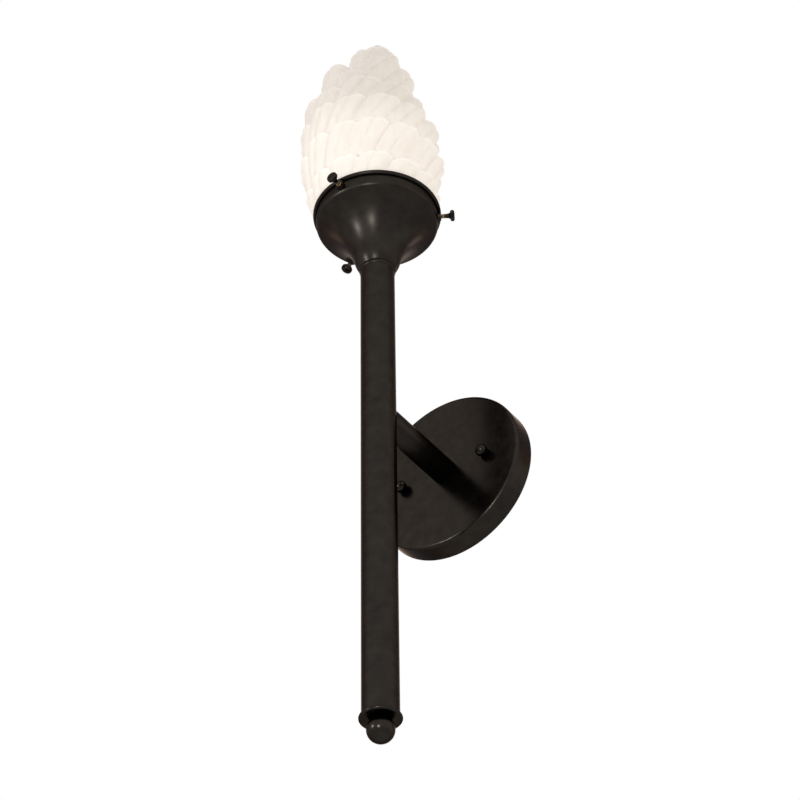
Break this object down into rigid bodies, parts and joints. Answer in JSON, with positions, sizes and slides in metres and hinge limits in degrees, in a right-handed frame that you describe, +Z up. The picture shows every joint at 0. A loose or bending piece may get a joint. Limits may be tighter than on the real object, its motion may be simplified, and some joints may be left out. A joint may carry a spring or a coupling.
{
  "type": "torch wall sconce",
  "caption": "Torch wall sconce: round plate, straight arm, upright tube with a ball foot, and a spun bell holding a flame-shaped glass shade with three thumb screws.",
  "frame": {"origin": "on the wall at the middle of the round plate, centre of the two box-screw slots", "axes": "+Z up along the tube towards the flame, -Y out of the wall into the room, +X to the right of someone facing the wall"},
  "size_m": [0.127, 0.1543, 0.6506],
  "materials": {
    "bronze": "dark oil-rubbed bronze, satin",
    "zinc_steel": "zinc plated, dull",
    "turned_steel": "turned",
    "green_screw": "green dyed zinc",
    "porcelain": "glazed",
    "brass": "plain",
    "nickel": "nickel plated",
    "lamp_cap": "rolled, satin",
    "black_glass": "glossy black glass",
    "frosted_lamp": "soft white, frosted inside",
    "clear_glass": "clear",
    "filament": "drawn wire",
    "flame_glass": "frosted white, satin",
    "black_insulation": "matte",
    "white_insulation": "matte",
    "green_insulation": "matte",
    "wire_nut_plastic": "moulded, matte"
  },
  "bodies": {
    "sconce": {"backplate": "bronze", "arm_tube": "bronze", "main_tube": "bronze", "arm_braze": "bronze", "foot_ring": "bronze", "bell_fitter": "bronze", "screw_bosses": "bronze", "crossbar": "zinc_steel", "mounting_studs": "zinc_steel", "stud_nuts": "zinc_steel", "arm_nipple": "zinc_steel", "arm_washer": "zinc_steel", "arm_locknut": "zinc_steel", "foot_nipple": "zinc_steel", "bell_locknut": "zinc_steel", "holder_nipple": "zinc_steel", "holder_strap": "zinc_steel", "arm_bushing": "turned_steel", "foot_bushing": "turned_steel", "top_bushing": "turned_steel", "ground_screw": "green_screw", "socket_body": "porcelain", "socket_shell": "brass", "socket_contact": "brass", "terminal_screw_live": "brass", "terminal_screw_neutral": "nickel", "glass_shade": "flame_glass", "black_lead": "black_insulation", "white_lead": "white_insulation", "ground_lead": "green_insulation", "wire_nuts": "wire_nut_plastic"},
    "body_thumb_screw_front": {"thumb_screw_front": "bronze"},
    "body_thumb_screw_right": {"thumb_screw_right": "bronze"},
    "body_thumb_screw_left": {"thumb_screw_left": "bronze"},
    "body_ball_nut_left": {"ball_nut_left": "bronze"},
    "body_ball_nut_right": {"ball_nut_right": "bronze"},
    "body_ball_finial": {"ball_finial": "bronze"},
    "lamp": {"bulb_contact": "nickel", "bulb_insulator": "black_glass", "bulb_cap": "lamp_cap", "bulb_globe": "frosted_lamp", "bulb_stem": "clear_glass", "bulb_filament": "filament"}
  },
  "joints": [
    {"name": "thumb_screw_front_out", "type": "slide", "parent": "sconce", "child": "body_thumb_screw_front", "axis": [0, -1, 0], "range_m": [0, 0.0065]},
    {"name": "thumb_screw_right_out", "type": "slide", "parent": "sconce", "child": "body_thumb_screw_right", "axis": [0.866, 0.5, 0], "range_m": [0, 0.0065]},
    {"name": "thumb_screw_left_out", "type": "slide", "parent": "sconce", "child": "body_thumb_screw_left", "axis": [-0.866, 0.5, 0], "range_m": [0, 0.0065]},
    {"name": "ball_nut_left_off", "type": "slide", "parent": "sconce", "child": "body_ball_nut_left", "axis": [0, -1, 0], "range_m": [0, 0.005]},
    {"name": "ball_nut_right_off", "type": "slide", "parent": "sconce", "child": "body_ball_nut_right", "axis": [0, -1, 0], "range_m": [0, 0.005]},
    {"name": "finial_turn", "type": "hinge", "parent": "sconce", "child": "body_ball_finial", "pos_m": [0, -0.0967, -0.26], "axis": [0, 0, 1], "continuous": true},
    {"name": "lamp_unscrew", "type": "hinge", "parent": "sconce", "child": "lamp", "pos_m": [0, -0.0967, 0.16], "axis": [0, 0, 1], "range_deg": [0, 900]}
  ]
}
